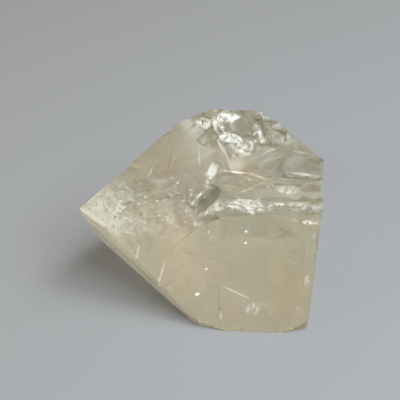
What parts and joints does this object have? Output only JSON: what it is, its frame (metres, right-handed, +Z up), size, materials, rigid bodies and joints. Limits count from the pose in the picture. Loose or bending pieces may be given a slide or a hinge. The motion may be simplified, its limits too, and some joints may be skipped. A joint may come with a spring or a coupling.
{
  "type": "topaz crystal",
  "caption": "Rough, see-through champagne topaz crystal lying on its side, with a pointed end, a flat cleavage break, a smooth front face and a stepped, chipped top.",
  "frame": {"origin": "on the ground under the middle of the stone's bounding box", "axes": "+X from the pointed end to the cleaved end, -Y out of the broad smooth front face, +Z up"},
  "size_m": [0.0402, 0.0332, 0.0288],
  "materials": {
    "topaz": "polished"
  },
  "bodies": {
    "root": {"crystal": "topaz"}
  },
  "joints": []
}
